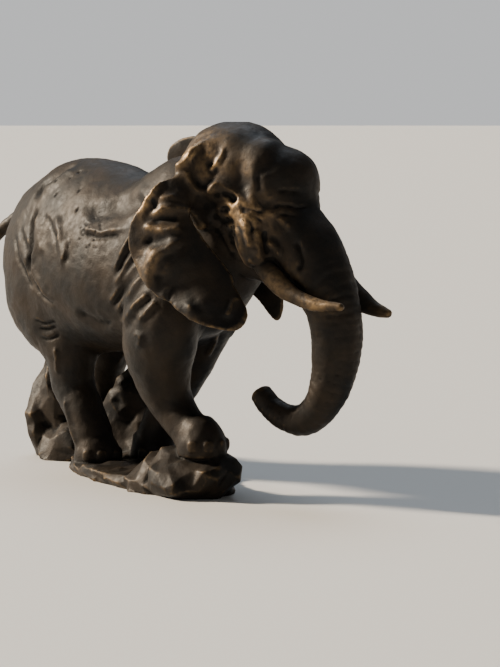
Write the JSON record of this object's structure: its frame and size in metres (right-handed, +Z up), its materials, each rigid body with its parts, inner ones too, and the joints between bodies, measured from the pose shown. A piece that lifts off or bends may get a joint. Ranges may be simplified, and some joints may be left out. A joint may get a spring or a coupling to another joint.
{
  "type": "elephant sculpture",
  "caption": "Cast bronze sculpture of a walking African elephant, head turned and trunk curled under, on its rocky ground; stands on a table or shelf by its own weight.",
  "frame": {"origin": "in the flat underside of the ground, below the middle of the body", "axes": "+X the way the body walks, +Y the animal's left, +Z up"},
  "size_m": [0.4097, 0.1304, 0.2449],
  "materials": {
    "bronze": "satin dark brown patina worn to gold on the ridges"
  },
  "bodies": {
    "root": {"elephant_and_ground": "bronze"}
  },
  "joints": []
}
